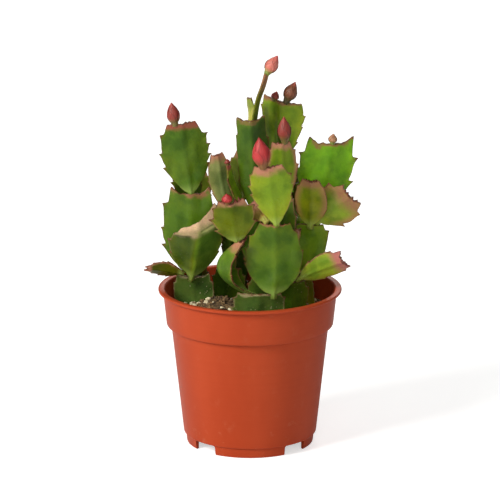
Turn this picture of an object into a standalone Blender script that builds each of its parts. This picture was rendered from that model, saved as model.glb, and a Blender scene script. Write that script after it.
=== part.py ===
"""Potted Thanksgiving cactus: flat jointed stem segments and flower buds in a plastic nursery pot.

Metres, +Z up. The origin is on the ground at the pot's axis, and the plant's front faces -Y.
Run with: blender --background --python part.py
"""

import math
from dataclasses import dataclass

import bmesh
import bpy
from mathutils import Euler, Vector

MM = 0.001
FIT_GAP = 0.3 * MM  # clear space left between pieces that touch

# The pot: a thin moulded shell with a collar, a rolled lip and a ring of four feet.
POT_HEIGHT = 91.2 * MM
LIP_RADIUS = 52.5 * MM
LIP_DEPTH = 1.8 * MM
COLLAR_TOP_RADIUS = 49.7 * MM
COLLAR_BOTTOM_RADIUS = 47.8 * MM
COLLAR_BOTTOM = 70.3 * MM
BODY_TOP_RADIUS = 45.0 * MM
BODY_TOP = 67.0 * MM
BODY_BOTTOM_RADIUS = 38.2 * MM
FOOT_RADIUS = 37.0 * MM
FOOT_HEIGHT = 5.6 * MM
FLOOR_BOTTOM = 3.8 * MM
POT_WALL = 1.3 * MM
NOTCH_WIDTH = 15.5 * MM
NOTCH_DEPTH = 16.0 * MM
NOTCH_RADIUS = 36.0 * MM
NOTCH_ANGLES = (45, 135, 225, 315)
POT_SIDES = 48

# The soil, and how deep the lowest segments stand in it.
SOIL_TOP = 79.0 * MM
SOIL_SIDES = 32
PLANTED_DEPTH = 8.0 * MM
POCKET_CLEARANCE = 0.6 * MM

# Stem segments: fleshy along the midrib, thin and toothed along the margins.
FLESH = 2.6 * MM
MARGIN_THINNESS = 0.42
NECK_HALF_WIDTH = 1.9 * MM
TOOTH_REACH = 0.065
NOTCH_CUT = 0.035
TOOTH_FORWARD = 0.022
CURL_START = 0.78
SEGMENT_ROWS = (0.0, 0.07, 0.20, 0.36, 0.40, 0.51, 0.62, 0.66, 0.84, 0.88, 1.0)
TOOTH_ROWS = (3, 6, 8)
CUT_ROWS = (4, 7, 9)
SEGMENT_COLUMNS = 5

BUD_SIDES = 8
BUD_RINGS = 7

COLOURS = {
    "terracotta": (0.56, 0.085, 0.035),
    "soil": (0.035, 0.022, 0.014),
    "shade": (0.035, 0.105, 0.028),
    "leaf": (0.075, 0.21, 0.030),
    "bright": (0.14, 0.36, 0.035),
    "olive": (0.16, 0.17, 0.030),
    "lime": (0.27, 0.38, 0.075),
    "blush": (0.42, 0.24, 0.12),
    "crimson": (0.56, 0.055, 0.075),
    "rose": (0.60, 0.20, 0.14),
}


@dataclass
class Segment:
    """One flat stem segment. Lengths in millimetres, angles in degrees."""

    name: str
    parent: str  # the segment that it grows from, or "" where it stands in the soil
    start: tuple  # place on the soil (x, y), or step (side, front) from the parent's apex
    length: float
    width: float
    lean: float = 0  # towards +X
    tip: float = 0  # towards +Y
    turn: float = 0  # about its own length, face towards +X
    fold: float = 6  # each wing swept back from the midrib
    bow: float = 1  # how far its middle stands behind its ends
    curl: float = 0  # how far its last fifth is turned back
    slant: float = 0  # how far its right side runs ahead of its middle at the apex
    peak: float = 0.58  # where it is widest
    belly: float = 0.85  # how it swells from its neck: rounder below 0.85, hollower above
    apex: float = 0.62  # width of its cut-off apex against its widest
    horn: float = 2.0  # how far the apex corners stand out
    teeth: float = 1.0
    colour: str = "leaf"


@dataclass
class Bud:
    """One flower bud on the apex of a segment. Lengths in millimetres, angles in degrees."""

    name: str
    parent: str
    start: tuple
    length: float
    width: float
    lean: float = 0
    tip: float = 0
    colour: str = "crimson"


SEGMENTS = (
    # Left clump
    Segment("left_base", "", (-32.6, 6.0), 25, 23, 0, -6, -5, peak=0.55, apex=0.8, teeth=0.6,
            colour="shade"),
    Segment("left_broad", "left_base", (-1.8, -1.8), 46, 31, 0, 6, -4, fold=4, peak=0.52, belly=0.72,
            apex=0.72, horn=4),
    Segment("left_crown", "left_broad", (0.6, 0.0), 41, 26.5, -7.5, -4, 7, peak=0.6, belly=0.75,
            apex=0.6, horn=0.5),
    Segment("left_folded", "left_base", (-0.4, 3.8), 38, 33, 8, -22, 4, fold=28, curl=70, slant=10,
            peak=0.5, belly=0.62, colour="shade"),
    Segment("left_spur", "left_base", (-6.6, 3.2), 19.5, 11, -80, -12, -35, peak=0.5, apex=0.3,
            colour="olive"),
    # Middle clump, mostly behind the front one
    Segment("middle_base", "", (-12.0, 17.0), 26, 18, -1, -3, 0, apex=0.8, horn=0.4, colour="shade"),
    Segment("middle_stem", "middle_base", (2.4, 0.0), 35, 10, -5, -6, 8, colour="shade"),
    Segment("middle_pale", "middle_stem", (0.0, 0.0), 33, 14, -10, -1, 20, apex=0.5, horn=1,
            teeth=0.5, colour="blush"),
    # Front clump
    Segment("front_base", "", (5.2, -16.0), 20, 29, 0, 0, 4, fold=3, peak=0.5, apex=0.86, horn=1,
            colour="shade"),
    Segment("front_round", "front_base", (8.2, 2.6), 40, 32, 1, 4, 3, fold=11, peak=0.5, belly=0.6,
            apex=0.54, horn=1),
    Segment("front_pale", "front_round", (0.6, 0.6), 34, 23.5, -8, -7, -6, peak=0.68, apex=0.66,
            horn=1, colour="lime"),
    Segment("front_stub", "front_round", (-6.0, -3.0), 12, 12, -46, 28, 0, peak=0.6, apex=0.8,
            colour="blush"),
    Segment("front_turned", "front_base", (-7.6, -3.4), 29, 24, -8, 0, -100, fold=40, bow=-13,
            colour="bright"),
    Segment("front_toothed", "front_turned", (0.0, 0.6), 24, 23, -8, -12, 0, peak=0.62, belly=0.65,
            teeth=1.5, colour="olive"),
    # Tall clump behind the front one
    Segment("tall_base", "", (9.0, 8.0), 21, 20, 0, 0, 0, apex=0.8, colour="shade"),
    Segment("tall_stem", "tall_base", (-1.0, 0.0), 38, 21, -6, 0, 6, horn=0.4, colour="shade"),
    Segment("tall_dark", "tall_stem", (0.0, 2.6), 56, 19.5, -4, 0, 0, fold=24, peak=0.5, apex=0.88,
            colour="shade"),
    Segment("tall_carrier", "tall_stem", (-0.2, -1.4), 46, 9, -4, 5, 0, teeth=0.5, horn=0, colour="shade"),
    Segment("tall_edge", "tall_carrier", (1.2, 1.2), 35, 11, 13, 0, 80, teeth=0.4, apex=0.4, horn=0,
            colour="olive"),
    Segment("tall_sliver", "tall_carrier", (0.3, -5.1), 20, 6.5, -3, 5, -50, teeth=0.5, horn=0.5,
            colour="lime"),
    Segment("tall_fork", "tall_stem", (5.6, -2.8), 26, 12, 16, 16, 0, colour="leaf"),
    Segment("tall_fan", "tall_fork", (0.0, 0.0), 36.5, 26, 2, 4, -18, fold=18, slant=-2, peak=0.84,
            apex=0.92, horn=0.9),
    Segment("side_sprig", "tall_stem", (-5.0, 0.4), 32, 10, -21, -3, 74, apex=0.4, horn=0.5,
            colour="olive"),
    Segment("inner_stem", "tall_base", (6.8, 3.2), 48, 15, 5, -2, 0, colour="leaf"),
    Segment("inner_lime", "inner_stem", (0.0, 0.0), 33, 17, -4, 1, 14, peak=0.6, apex=0.6, horn=1,
            colour="lime"),
    # Right clump
    Segment("right_base", "", (24.0, -4.0), 25, 18, 0, -6, 0, apex=0.8, horn=0.2, colour="shade"),
    Segment("right_low", "right_base", (5.4, 1.6), 26, 16, 64, -12, 20, peak=0.6, belly=0.65,
            apex=0.8, colour="lime"),
    Segment("right_edge", "right_base", (-2.0, 0.6), 29, 12, 12, 6, 66, horn=1, colour="olive"),
    Segment("right_back_base", "", (34.4, 7.0), 23, 14, -8, 4, 52, apex=0.8, teeth=0.5, colour="olive"),
    Segment("right_stem", "right_back_base", (0.0, 0.0), 31, 21, 5, -2, 8, peak=0.6, apex=0.7,
            horn=0.2, colour="shade"),
    Segment("right_russet", "right_stem", (-1.0, 2.9), 27.5, 19, 0, -14, -12, peak=0.5, belly=0.62,
            apex=0.5, horn=1, colour="olive"),
    Segment("right_wing", "right_stem", (4.2, 0.2), 23.6, 24.5, 48, -12, 4, peak=0.6, belly=0.65,
            teeth=1.2, colour="blush"),
    Segment("right_crown", "right_stem", (3.6, -2.8), 46, 31, 10, 3, 12, slant=2, peak=0.66,
            apex=0.82, horn=4, colour="bright"),
    # Clumps at the back
    Segment("back_left_stem", "", (-27.0, 22.0), 58, 24, -5, 7, 62, colour="leaf"),
    Segment("back_left_crown", "back_left_stem", (-2.6, 0.0), 31, 22, -6, 2, 40, peak=0.74, colour="leaf"),
    Segment("back_stem", "", (-9.0, 27.0), 58, 22, -2, 8, -48, colour="leaf"),
    Segment("back_crown", "back_stem", (0.0, -1.0), 31, 19, 14, 6, -30, peak=0.6, colour="olive"),
    Segment("back_middle_stem", "", (9.0, 26.0), 55, 22, 2, 3, 74, horn=0.2, colour="shade"),
    Segment("back_middle_crown", "back_middle_stem", (-3.4, 0.0), 31, 19, 8, 4, 60, colour="leaf"),
    Segment("back_right_stem", "", (25.0, 23.0), 53, 24, 3, 7, -58, colour="leaf"),
    Segment("back_right_crown", "back_right_stem", (2.6, 0.0), 31, 21, 14, 3, -36, colour="olive"),
    Segment("back_left_fork", "back_left_stem", (4.6, 0.0), 24, 17, -6, 44, 16, teeth=1.3, colour="olive"),
    Segment("back_middle_fork", "back_middle_stem", (5.4, 0.0), 21, 14, 6, 34, 84, teeth=1.3,
            colour="lime"),
    Segment("back_right_fork", "back_right_stem", (-4.6, 0.0), 24, 17, 10, 44, -16, teeth=1.3,
            colour="bright"),
)

BUDS = (
    Bud("bud_left", "left_crown", (-3.6, 0.0), 13.4, 6.6, -9, -4),
    Bud("bud_front", "front_pale", (-2.8, 0.0), 18, 9.2, -8, -6),
    Bud("bud_inner", "inner_lime", (2.0, 0.0), 15.4, 7.0, -2, -4),
    Bud("bud_top", "tall_edge", (0.0, 0.0), 12.6, 6.6, 30, -8),
    Bud("bud_fan_small", "tall_fan", (-4.2, 0.0), 5.5, 4.0, 18, 0),
    Bud("bud_fan", "tall_fan", (3.2, 0.0), 12.6, 6.8, 25, 0, colour="rose"),
    Bud("bud_right", "right_crown", (0.6, 0.0), 6.0, 4.4, 8, 0, colour="rose"),
    Bud("bud_toothed", "front_toothed", (-2.0, 0.0), 6.0, 5.2, -5, -10),
    Bud("bud_sprig", "side_sprig", (0.0, 0.0), 3.6, 2.8, -8, 0),
)


def deg(*angles):
    return tuple(math.radians(angle) for angle in angles)


def material(name):
    """A plain Principled material in one of the object's colours."""
    found = bpy.data.materials.get(name)
    if found:
        return found
    made = bpy.data.materials.new(name)
    made.use_nodes = True
    shader = made.node_tree.nodes["Principled BSDF"]
    shader.inputs["Base Color"].default_value = (*COLOURS[name], 1)
    shader.inputs["Roughness"].default_value = 0.95 if name == "soil" else 0.45
    shader.inputs["Metallic"].default_value = 0
    made.diffuse_color = (*COLOURS[name], 1)
    return made


def add_object(name, bm, collection, parent, colour=None):
    """Puts a bmesh in the scene as one object under the parent empty."""
    mesh = bpy.data.meshes.new(name)
    bm.to_mesh(mesh)
    bm.free()
    obj = bpy.data.objects.new(name, mesh)
    collection.objects.link(obj)
    obj.parent = parent
    if colour:
        mesh.materials.append(material(colour))
        mesh.shade_smooth()
        mesh.set_sharp_from_angle(angle=math.radians(40))
    return obj


def turned(name, profile, sides, collection, parent, colour):
    """A solid of revolution: the profile runs from the axis, up inside, over and down its outer side."""
    bm = bmesh.new()
    points = [bm.verts.new((radius, 0, height)) for radius, height in profile]
    for first, second in zip(points, points[1:]):
        bm.edges.new((first, second))
    obj = add_object(name, bm, collection, parent, colour)
    screw = obj.modifiers.new("Turn", "SCREW")
    screw.steps = screw.render_steps = sides
    screw.use_merge_vertices = True
    screw.merge_threshold = 0.00001
    screw.use_smooth_shade = True
    return obj


def cut(obj, cutter):
    boolean = obj.modifiers.new("Cut " + cutter.name, "BOOLEAN")
    boolean.object = cutter
    boolean.operation = "DIFFERENCE"


def box_cutter(name, size, collection, parent):
    bm = bmesh.new()
    bmesh.ops.create_cube(bm, size=1)
    bmesh.ops.scale(bm, verts=bm.verts, vec=size)
    cutter = add_object(name, bm, collection, parent)
    cutter.hide_render = True
    cutter.display_type = "WIRE"
    return cutter


def inner_radius(height):
    """The pot's inner wall at a height inside its body."""
    rise = (height - FOOT_HEIGHT) / (BODY_TOP - FOOT_HEIGHT)
    outer = BODY_BOTTOM_RADIUS + rise * (BODY_TOP_RADIUS - BODY_BOTTOM_RADIUS)
    return outer - POT_WALL


def collar_inner_radius(height):
    """The pot's inner wall at a height inside its collar."""
    rise = (height - COLLAR_BOTTOM) / (POT_HEIGHT - LIP_DEPTH - COLLAR_BOTTOM)
    outer = COLLAR_BOTTOM_RADIUS + rise * (COLLAR_TOP_RADIUS - COLLAR_BOTTOM_RADIUS)
    return outer - POT_WALL


def build_pot(parts, cutters, parent):
    floor_top = FLOOR_BOTTOM + POT_WALL
    lip_bottom = POT_HEIGHT - LIP_DEPTH
    lip_round = 0.6 * MM
    foot_inner = FOOT_RADIUS - 2.4 * MM
    profile = (
        (0, floor_top),
        (inner_radius(floor_top), floor_top),
        (inner_radius(BODY_TOP), BODY_TOP),
        (collar_inner_radius(COLLAR_BOTTOM), COLLAR_BOTTOM),
        (collar_inner_radius(lip_bottom), lip_bottom),
        (COLLAR_TOP_RADIUS - lip_round, POT_HEIGHT),
        (LIP_RADIUS - lip_round, POT_HEIGHT),
        (LIP_RADIUS, POT_HEIGHT - lip_round),
        (LIP_RADIUS, lip_bottom + lip_round),
        (LIP_RADIUS - lip_round, lip_bottom),
        (COLLAR_TOP_RADIUS, lip_bottom),
        (COLLAR_BOTTOM_RADIUS, COLLAR_BOTTOM),
        (BODY_TOP_RADIUS, BODY_TOP),
        (BODY_BOTTOM_RADIUS, FOOT_HEIGHT + 0.3 * MM),
        (FOOT_RADIUS, FOOT_HEIGHT),
        (FOOT_RADIUS - 0.5 * MM, lip_round),
        (FOOT_RADIUS - 0.5 * MM - lip_round, 0),
        (foot_inner, 0),
        (foot_inner, FLOOR_BOTTOM),
        (0, FLOOR_BOTTOM),
    )
    pot = turned("nursery_pot", profile, POT_SIDES, parts, parent, "terracotta")
    for number, angle in enumerate(NOTCH_ANGLES, start=1):
        size = (NOTCH_DEPTH, NOTCH_WIDTH, 2 * (FOOT_HEIGHT - 0.1 * MM))
        notch = box_cutter(f"foot_notch_{number}", size, cutters, parent)
        around = math.radians(angle)
        notch.location = (NOTCH_RADIUS * math.cos(around), NOTCH_RADIUS * math.sin(around), 0)
        notch.rotation_euler.z = around
        cut(pot, notch)
    return pot


def build_soil(parts, parent):
    bottom = FLOOR_BOTTOM + POT_WALL + FIT_GAP
    profile = (
        (0, SOIL_TOP - 0.6 * MM),
        (16 * MM, SOIL_TOP),
        (30 * MM, SOIL_TOP - 0.5 * MM),
        (collar_inner_radius(SOIL_TOP) - FIT_GAP, SOIL_TOP - 1.5 * MM),
        (collar_inner_radius(COLLAR_BOTTOM) - FIT_GAP, COLLAR_BOTTOM),
        (inner_radius(BODY_TOP) - FIT_GAP, BODY_TOP),
        (inner_radius(bottom) - FIT_GAP, bottom),
        (0, bottom),
    )
    return turned("soil", profile, SOIL_SIDES, parts, parent, "soil")


def half_width(segment, along):
    """Half of a segment's width, without its teeth, at a share of its length."""
    widest = segment.width / 2 * MM
    if along <= segment.peak:
        swell = math.sin(math.pi / 2 * along / segment.peak) ** segment.belly
        return NECK_HALF_WIDTH + (widest - NECK_HALF_WIDTH) * swell
    past = (along - segment.peak) / (1 - segment.peak)
    return widest * (1 - (1 - segment.apex) * past**2)


def margin_tooth(segment, row):
    """How far a row's margin point stands out sideways and forwards, as a tooth or a cut."""
    reach = segment.width * MM * segment.teeth
    if row in TOOTH_ROWS:
        return reach * TOOTH_REACH, segment.length * MM * TOOTH_FORWARD
    if row in CUT_ROWS:
        return -reach * NOTCH_CUT, 0
    if row == len(SEGMENT_ROWS) - 1:
        return 0, segment.horn * MM
    return 0, 0


def blade_point(segment, row, across):
    """A point of the segment's middle surface in its own frame: X across, Y back, Z along."""
    along = SEGMENT_ROWS[row]
    side = half_width(segment, along) * across
    forward = 0
    if abs(across) == 1:
        out, forward = margin_tooth(segment, row)
        side += math.copysign(out, across)
    forward += segment.slant * MM * across * along**2
    length = segment.length * MM
    straight = min(along, CURL_START) * length
    curled = max(along - CURL_START, 0) * length + forward
    if along < CURL_START:
        straight, curled = straight + forward, 0
    back = segment.bow * MM * 4 * along * (1 - along)
    back += curled * math.sin(math.radians(segment.curl))
    back += abs(side) * math.sin(math.radians(segment.fold))
    height = straight + curled * math.cos(math.radians(segment.curl))
    return Vector((side * math.cos(math.radians(segment.fold)), back, height))


def build_segment(segment, parts, parent):
    """A toothed blade: a grid shaped to the outline, made fleshy by Solidify."""
    bm = bmesh.new()
    rows = len(SEGMENT_ROWS)
    bmesh.ops.create_grid(bm, x_segments=SEGMENT_COLUMNS - 1, y_segments=rows - 1, size=1)
    flesh = bm.verts.layers.deform.new()
    for vert in bm.verts:
        across = round(vert.co.x, 3)
        row = round((vert.co.y + 1) / 2 * (rows - 1))
        vert.co = blade_point(segment, row, across)
        vert[flesh][0] = 1 - abs(across)
    obj = add_object(segment.name, bm, parts, parent, segment.colour)
    obj.vertex_groups.new(name="flesh")
    solid = obj.modifiers.new("Flesh", "SOLIDIFY")
    solid.thickness = FLESH
    solid.offset = 0
    solid.vertex_group = "flesh"
    solid.thickness_vertex_group = MARGIN_THINNESS
    return obj


def bud_radius(along):
    """A bud's outline: a stalk, a swollen middle and a pointed tip, as a share of half its width."""
    swell = math.sin(math.pi * min(along, 1) ** 0.9)
    return 0.26 * (1 - along) + 0.88 * max(swell, 0) ** 1.3


def build_bud(bud, parts, parent):
    bm = bmesh.new()
    bmesh.ops.create_uvsphere(bm, u_segments=BUD_SIDES, v_segments=BUD_RINGS, radius=1)
    for vert in bm.verts:
        along = (vert.co.z + 1) / 2
        flat = Vector((vert.co.x, vert.co.y, 0))
        outline = bud_radius(along) * bud.width / 2 * MM
        ring = flat.normalized() * outline if flat.length > 1e-4 else Vector()
        vert.co = ring + Vector((0, 0, along * bud.length * MM))
    return add_object(bud.name, bm, parts, parent, bud.colour)


def place(obj, base, lean, tip, turn=0):
    """Stands an object on a point, leaning to +X, tipped to +Y and turned about its length."""
    obj.rotation_mode = "ZXY"
    obj.rotation_euler = deg(-tip, lean, turn)
    obj.location = base


def frame_of(lean, tip, turn=0):
    return Euler(deg(-tip, lean, turn), "ZXY").to_matrix()


def grow(parts, cutters, parent, soil):
    """Sets each segment on its parent's apex, or in a pocket of the soil, and each bud on its segment."""
    apexes = {}
    for segment in SEGMENTS:
        frame = frame_of(segment.lean, segment.tip, segment.turn)
        axis = frame.col[2]
        if segment.parent:
            apex, parent_frame = apexes[segment.parent]
            side, front = segment.start
            slant = axis.angle(parent_frame.col[2])
            gap = 1.5 * FIT_GAP + (NECK_HALF_WIDTH + FLESH / 2) * math.sin(slant)
            step = parent_frame @ Vector((side, -front, 0)) * MM
            base = apex + step + parent_frame.col[2] * gap
        else:
            base = Vector((segment.start[0] * MM, segment.start[1] * MM, SOIL_TOP))
            base -= axis * PLANTED_DEPTH
        obj = build_segment(segment, parts, parent)
        place(obj, base, segment.lean, segment.tip, segment.turn)
        if not segment.parent:
            planted = half_width(segment, PLANTED_DEPTH / segment.length / MM)
            half = planted + TOOTH_REACH * segment.width * MM
            sweep = segment.bow * MM + half * math.sin(math.radians(segment.fold))
            size = (2 * half, FLESH + 2 * sweep, 2 * PLANTED_DEPTH)
            size = [side + 2 * POCKET_CLEARANCE for side in size]
            pocket = box_cutter("pocket_" + segment.name, size, cutters, parent)
            place(pocket, base + axis * PLANTED_DEPTH, segment.lean, segment.tip, segment.turn)
            cut(soil, pocket)
        top = blade_point(segment, len(SEGMENT_ROWS) - 1, 0)
        apexes[segment.name] = (base + frame @ top, frame)
    for bud in BUDS:
        apex, parent_frame = apexes[bud.parent]
        side, front = bud.start
        obj = build_bud(bud, parts, parent)
        base = apex + parent_frame @ Vector((side, -front, 0)) * MM + parent_frame.col[2] * (2 * FIT_GAP)
        place(obj, base, bud.lean, bud.tip)


def main():
    for obj in list(bpy.data.objects):
        bpy.data.objects.remove(obj, do_unlink=True)
    parts = bpy.data.collections.new("potted_christmas_cactus")
    cutters = bpy.data.collections.new("cutters")
    bpy.context.scene.collection.children.link(parts)
    bpy.context.scene.collection.children.link(cutters)
    cutters.hide_render = True
    root = bpy.data.objects.new("plant_and_pot", None)
    parts.objects.link(root)
    build_pot(parts, cutters, root)
    soil = build_soil(parts, root)
    grow(parts, cutters, root, soil)


main()
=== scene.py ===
import math
import random
from dataclasses import dataclass

import bmesh
import bpy
from mathutils import Euler, Matrix, Vector, noise
from mathutils.bvhtree import BVHTree


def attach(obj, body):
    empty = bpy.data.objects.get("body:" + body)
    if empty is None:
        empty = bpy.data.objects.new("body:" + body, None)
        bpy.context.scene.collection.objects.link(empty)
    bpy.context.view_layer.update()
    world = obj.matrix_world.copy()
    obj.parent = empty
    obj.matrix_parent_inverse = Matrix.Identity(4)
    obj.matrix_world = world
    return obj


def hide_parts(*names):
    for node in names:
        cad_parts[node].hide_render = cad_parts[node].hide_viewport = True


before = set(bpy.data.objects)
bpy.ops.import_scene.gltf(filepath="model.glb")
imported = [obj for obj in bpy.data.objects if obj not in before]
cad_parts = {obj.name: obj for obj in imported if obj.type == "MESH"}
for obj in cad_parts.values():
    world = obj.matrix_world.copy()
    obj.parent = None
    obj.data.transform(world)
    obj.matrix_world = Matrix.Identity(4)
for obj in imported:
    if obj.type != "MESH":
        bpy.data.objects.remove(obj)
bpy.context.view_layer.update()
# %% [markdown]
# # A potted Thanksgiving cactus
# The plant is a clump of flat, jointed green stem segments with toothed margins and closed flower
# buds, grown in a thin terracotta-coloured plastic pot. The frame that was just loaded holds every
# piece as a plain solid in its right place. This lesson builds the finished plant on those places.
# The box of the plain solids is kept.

MM = 0.001
scene = bpy.context.scene

# %% [markdown]
# ## Tools that every piece uses
# A finished mesh is put in the scene with its material, rides on the one body of this object and
# stands for its plain solid. The solids arrive as loose triangles, so their distinct points are read
# rather than their mesh, and the solids themselves are never touched.

# %% Reading solids and adding pieces
def solid_points(name):
    """The distinct points of a plain solid, in metres."""
    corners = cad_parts[name].data.vertices
    rounded = {tuple(round(value, 6) for value in corner.co) for corner in corners}
    return [Vector(point) for point in sorted(rounded)]


def add_piece(name, bm, materials, stands_for=None, smooth=True):
    """One finished piece at the origin, with its place in its mesh."""
    mesh = bpy.data.meshes.new(name)
    bm.to_mesh(mesh)
    bm.free()
    piece = bpy.data.objects.new(name, mesh)
    scene.collection.objects.link(piece)
    for material in materials:
        mesh.materials.append(material)
    if smooth:
        mesh.shade_smooth()
    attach(piece, "root")
    if stands_for:
        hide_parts(stands_for)
    return piece


def smoothstep(low, high, value):
    """A smooth climb from 0 to 1 between two values."""
    share = min(max((value - low) / (high - low), 0), 1)
    return share * share * (3 - 2 * share)


print("soil surface at", round(max(point.z for point in solid_points("soil")) / MM, 1), "mm")

# %% [markdown]
# ## Tools for the finishes
# Every finish is a network of shader nodes. These helpers add a node and connect its inputs in one
# line, so that each finish further on reads as a list of what is seen on the surface.

# %% Node helpers
def put(target, value):
    """Feeds an input from another node's output, or gives it a value."""
    if isinstance(value, bpy.types.NodeSocket):
        target.id_data.links.new(value, target)
    elif isinstance(value, tuple) and len(value) == 3 and target.type == "RGBA":
        target.default_value = (*value, 1)
    else:
        target.default_value = value


def node(tree, kind, inputs=(), **settings):
    """A new node with its settings made and its inputs fed."""
    made = tree.nodes.new("ShaderNode" + kind)
    for name, value in settings.items():
        setattr(made, name, value)
    for name, value in dict(inputs).items():
        put(made.inputs[name], value)
    return made


def maths(tree, operation, first, second=0.0, clamp=False):
    """One sum. The three short names that follow read better in a long line of them."""
    made = node(tree, "Math", {0: first, 1: second}, operation=operation, use_clamp=clamp)
    return made.outputs[0]


def times(tree, first, second):
    return maths(tree, "MULTIPLY", first, second)


def plus(tree, first, second):
    return maths(tree, "ADD", first, second)


def minus(tree, first, second):
    return maths(tree, "SUBTRACT", first, second)


def ramp(tree, value, low, high, to_low=0.0, to_high=1.0):
    """A smooth climb from one value to another."""
    inputs = {"Value": value, "From Min": low, "From Max": high, "To Min": to_low, "To Max": to_high}
    return node(tree, "MapRange", inputs, interpolation_type="SMOOTHSTEP").outputs["Result"]


def mix(tree, factor, first, second, blend="MIX"):
    """One colour over another. A Mix node lists its sockets by kind, and 6, 7 and 2 are the colours."""
    made = node(tree, "Mix", {0: factor, 6: first, 7: second}, data_type="RGBA", blend_type=blend)
    return made.outputs[2]


def tint(tree, mask, colour, by):
    """The colour multiplied by another one where the mask is 1."""
    return mix(tree, mask, colour, mix(tree, 1.0, colour, by, "MULTIPLY"))


def grain(tree, scale, detail=3.0, roughness=0.5, stretch=None):
    """Noise fixed to the object, from 0 to 1."""
    place = node(tree, "TexCoord").outputs["Object"]
    if stretch:
        place = node(tree, "Mapping", {"Vector": place, "Scale": stretch}).outputs["Vector"]
    inputs = {"Vector": place, "Scale": scale, "Detail": detail, "Roughness": roughness}
    return node(tree, "TexNoise", inputs).outputs["Fac"]


def relief(tree, strength, distance, height):
    """A bumpy surface: the height in, the normal out."""
    inputs = {"Strength": strength, "Distance": distance, "Height": height}
    return node(tree, "Bump", inputs).outputs["Normal"]


def attribute(tree, name):
    """A value that the mesh carries on its points."""
    return node(tree, "Attribute", attribute_name=name).outputs["Fac"]


def new_group(name, inputs, outputs):
    """An empty shader group with its sockets, its input node and its output node."""
    group = bpy.data.node_groups.new(name, "ShaderNodeTree")
    for in_out, sockets in (("INPUT", inputs), ("OUTPUT", outputs)):
        for label, kind in sockets:
            group.interface.new_socket(label, in_out=in_out, socket_type="NodeSocket" + kind)
    return group, group.nodes.new("NodeGroupInput").outputs, group.nodes.new("NodeGroupOutput").inputs


def new_material(name, **values):
    """A material whose Principled shader has these plain values."""
    material = bpy.data.materials.new(name)
    material.use_nodes = True
    tree = material.node_tree
    tree.nodes.clear()
    inputs = {label.replace("_", " "): value for label, value in values.items()}
    shader = node(tree, "BsdfPrincipled", inputs)
    output = node(tree, "OutputMaterial", {"Surface": shader.outputs[0]})
    shader.location.x, output.location.x = -300, 0
    return material, tree, shader


print("node helpers ready")

# %% [markdown]
# ## The flesh of the stem segments
# A segment is a thick waxy leaf-like stem. Its colour is never even: the midrib reads as a darker band,
# or as a lighter one where a painted highlight lies on its ridge, faint veins slant out to the teeth, the
# apex and the margins blush pink or crimson in strong light, and the very edge dries to a thin brown line.
# Where the two wings of a fold differ in flesh, that is painted light and shade. One shared group holds all
# of this.
# It reads four values that each segment's mesh carries: how far along the segment a point is, how
# far across, how many millimetres it lies from the margin, and how near it is to the tip of a tooth.

# %% Group: cactus flesh, its mottling
flesh_group, given, result = new_group(
    "Cactus flesh",
    (("Flesh", "Color"), ("Right flesh", "Color"), ("Blush", "Color"), ("Rib", "Float"),
     ("Tip blush", "Float"), ("Edge blush", "Float"), ("Specks", "Float")),
    (("Colour", "Color"), ("Roughness", "Float"), ("Normal", "Vector")),
)
tree = flesh_group
along, across, edge = (attribute(tree, name) for name in ("along", "across", "edge"))
spread = maths(tree, "ABSOLUTE", across)
broad, cloud, fine = grain(tree, 42, 2, 0.5), grain(tree, 95, 4, 0.55), grain(tree, 900, 2, 0.6)
# The two wings can differ. Broad patches and the margins are yellower, clouds between them darker.
# A right wing with a flesh of its own paints the light and shade that fall on a fold.
colour = mix(tree, ramp(tree, across, -0.08, 0.08), given["Flesh"], given["Right flesh"])
colour = tint(tree, ramp(tree, broad, 0.42, 0.66, 0.0, 0.6), colour, (1.45, 1.12, 0.9))
colour = tint(tree, ramp(tree, edge, 4.5, 0.3, 0.0, 0.45), colour, (1.5, 1.18, 1.0))
colour = tint(tree, ramp(tree, cloud, 0.42, 0.66, 0.0, 0.8), colour, (0.50, 0.62, 0.5))
colour = tint(tree, ramp(tree, fine, 0.45, 0.75, 0.0, 0.28), colour, (1.35, 1.28, 1.1))
print("mottling:", len(flesh_group.nodes), "nodes")

# %% Group: cactus flesh, its veins, its midrib and the painted highlight on it
# Veins slant forward from the midrib to the teeth.
vein_place = minus(tree, along, times(tree, spread, 0.22))
vein_place = plus(tree, vein_place, times(tree, cloud, 0.12))
vein = ramp(tree, maths(tree, "SINE", times(tree, vein_place, 48.0)), 0.55, 1.0)
vein = times(tree, vein, ramp(tree, spread, 0.98, 0.35))
colour = tint(tree, times(tree, times(tree, vein, 0.10), cloud), colour, (0.55, 0.62, 0.5))
# The midrib is darker where Rib is below zero. Where it is above, a painted highlight lightens its ridge.
rib = maths(tree, "EXPONENT", times(tree, times(tree, across, across), -55.0))
rib = times(tree, rib, ramp(tree, along, 1.0, 0.55))
rib = times(tree, rib, ramp(tree, cloud, 0.2, 0.6, 0.6, 1.0))
dark_rib = maths(tree, "MULTIPLY", rib, times(tree, given["Rib"], -1.0), clamp=True)
painted_rib_highlight = maths(tree, "MULTIPLY", rib, given["Rib"], clamp=True)
colour = tint(tree, dark_rib, colour, (0.42, 0.5, 0.35))
# Painted highlight: the ridge of the midrib is lightened where light would catch it.
colour = tint(tree, painted_rib_highlight, colour, (1.9, 1.6, 1.5))
# The neck is paler, where the segment grew last.
colour = mix(tree, ramp(tree, along, 0.16, 0.01, 0.0, 0.5), colour, (0.30, 0.42, 0.10))
print("with veins and midrib:", len(flesh_group.nodes), "nodes")

# %% Group: cactus flesh, its blush and dry margins
cloud_drift = minus(tree, cloud, 0.5)
# The apex blushes over the share of the length that Tip blush gives.
from_apex = plus(tree, minus(tree, 1.0, along), times(tree, cloud_drift, 0.3))
tip_start = plus(tree, times(tree, given["Tip blush"], 1.45), 0.02)
tip_mask = ramp(tree, from_apex, tip_start, times(tree, given["Tip blush"], 0.25))
tip_mask = times(tree, tip_mask, ramp(tree, given["Tip blush"], 0.0, 0.02))
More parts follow.
